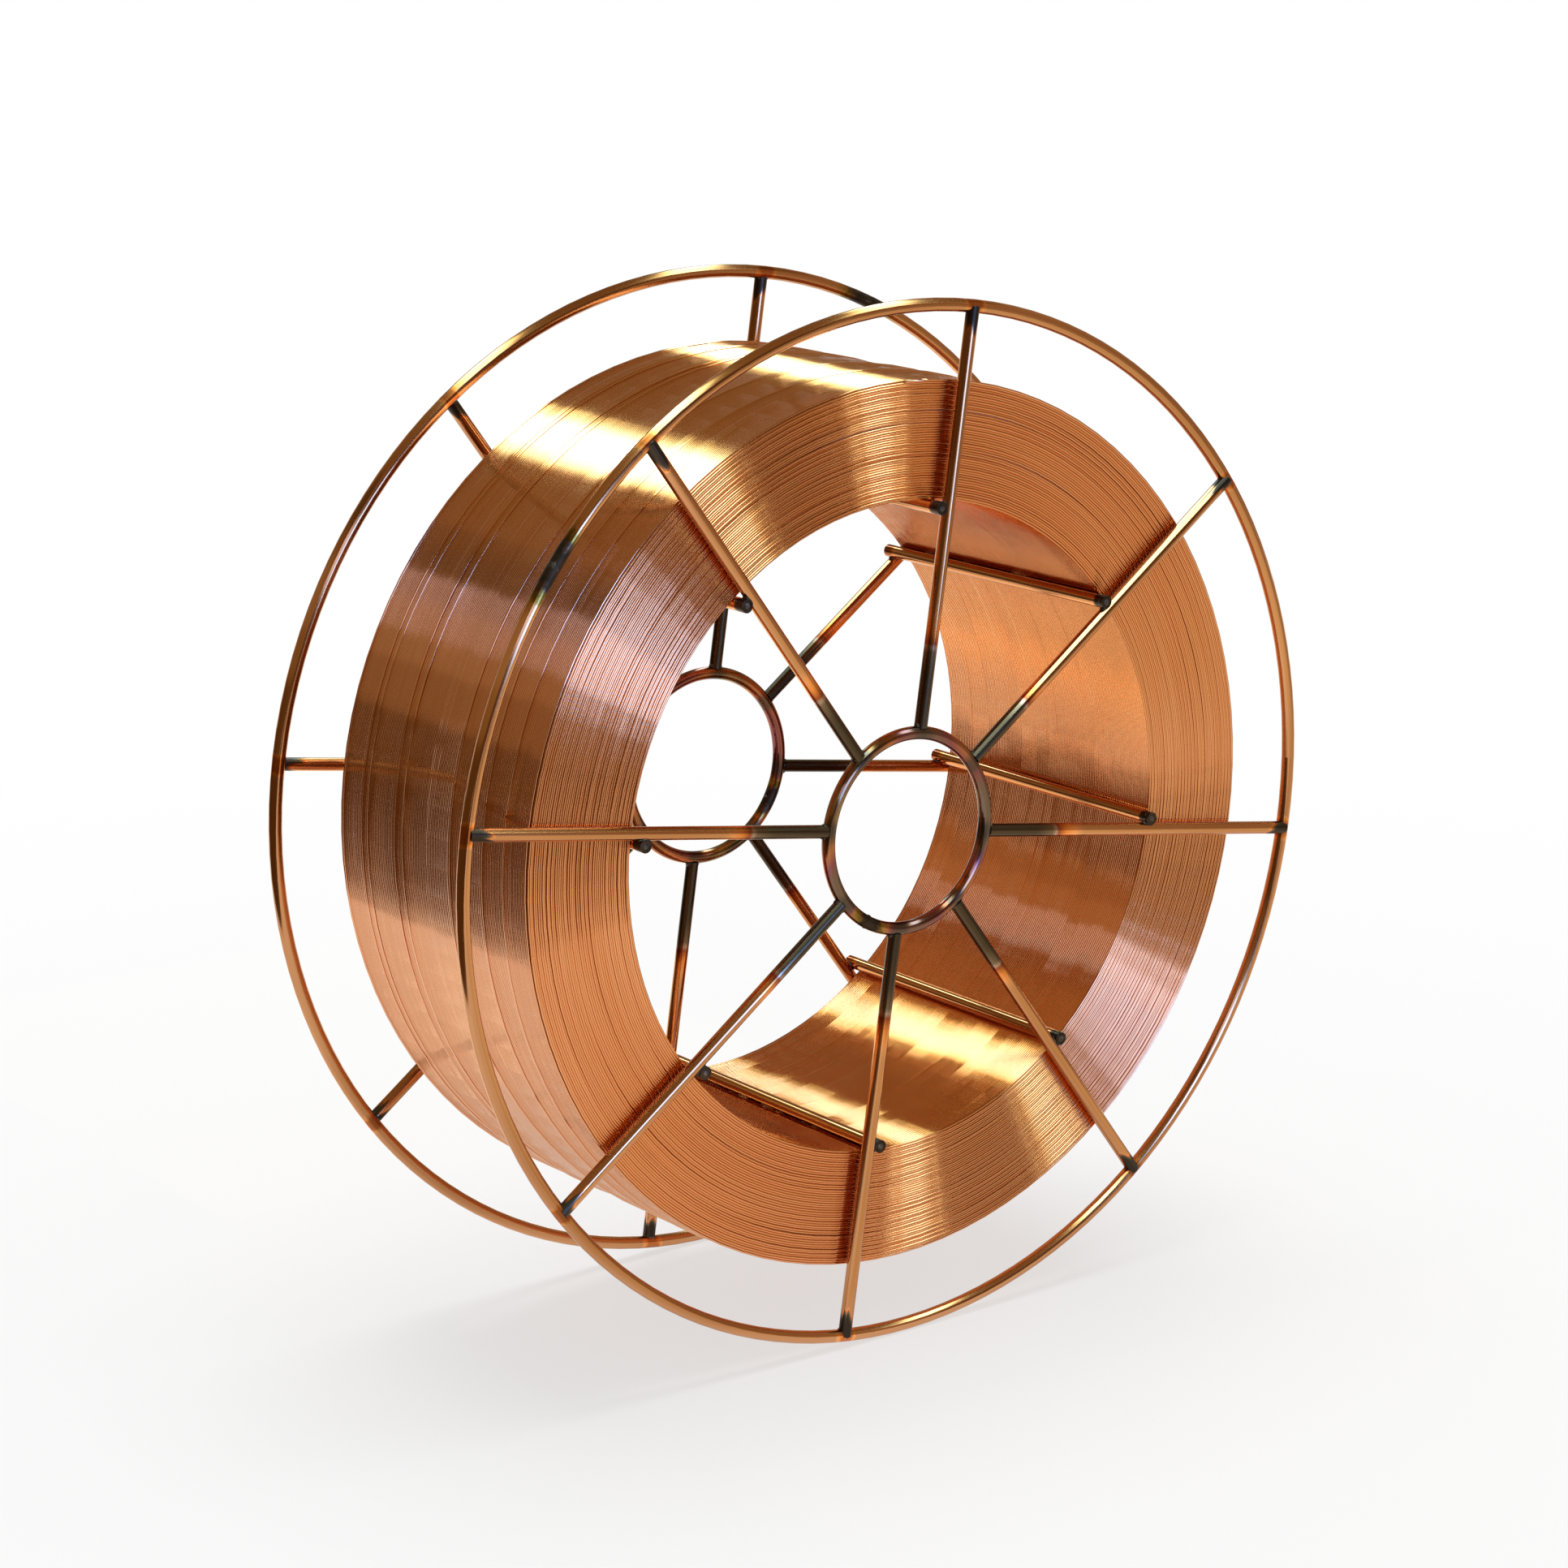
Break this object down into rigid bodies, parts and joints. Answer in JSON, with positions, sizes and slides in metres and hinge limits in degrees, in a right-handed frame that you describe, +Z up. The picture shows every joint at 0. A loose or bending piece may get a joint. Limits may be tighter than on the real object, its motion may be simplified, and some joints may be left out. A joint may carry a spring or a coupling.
{
  "type": "welding wire spool",
  "caption": "Open wire-basket spool of welded rings, spokes and cross bars, filled with a wide, close winding of fine copper-coated wire.",
  "frame": {"origin": "centre of the spool, on its axis and half way between the two flanges", "axes": "+Y along the spool's axis from the front flange to the rear flange, +X to the right as seen from the front, +Z up, with the first spoke 8.5 degrees clockwise of +Z"},
  "size_m": [0.3, 0.1016, 0.3],
  "materials": {
    "rim_wire": "bright drawn steel wire with a thin copper coat, smoky at the welds",
    "hub_wire": "copper-coated steel wire with heat colours from the welds",
    "spoke_wire": "copper-coated steel wire, scaled grey-brown over its inner quarter by heat",
    "bar_wire": "copper-coated steel wire, burnt dark at both cut ends",
    "packed_wire": "bright copper-coated steel wire, wound close",
    "outer_wire": "bright copper-coated steel wire, single turns"
  },
  "bodies": {
    "root": {"front_rim": "rim_wire", "rear_rim": "rim_wire", "front_hub_ring": "hub_wire", "rear_hub_ring": "hub_wire", "front_spoke_1": "spoke_wire", "front_spoke_2": "spoke_wire", "front_spoke_3": "spoke_wire", "front_spoke_4": "spoke_wire", "front_spoke_5": "spoke_wire", "front_spoke_6": "spoke_wire", "front_spoke_7": "spoke_wire", "front_spoke_8": "spoke_wire", "rear_spoke_1": "spoke_wire", "rear_spoke_2": "spoke_wire", "rear_spoke_3": "spoke_wire", "rear_spoke_4": "spoke_wire", "rear_spoke_5": "spoke_wire", "rear_spoke_6": "spoke_wire", "rear_spoke_7": "spoke_wire", "rear_spoke_8": "spoke_wire", "cross_bar_1": "bar_wire", "cross_bar_2": "bar_wire", "cross_bar_3": "bar_wire", "cross_bar_4": "bar_wire", "cross_bar_5": "bar_wire", "cross_bar_6": "bar_wire", "cross_bar_7": "bar_wire", "cross_bar_8": "bar_wire", "wire_pack": "packed_wire", "wire_outer_turns": "outer_wire"}
  },
  "joints": []
}
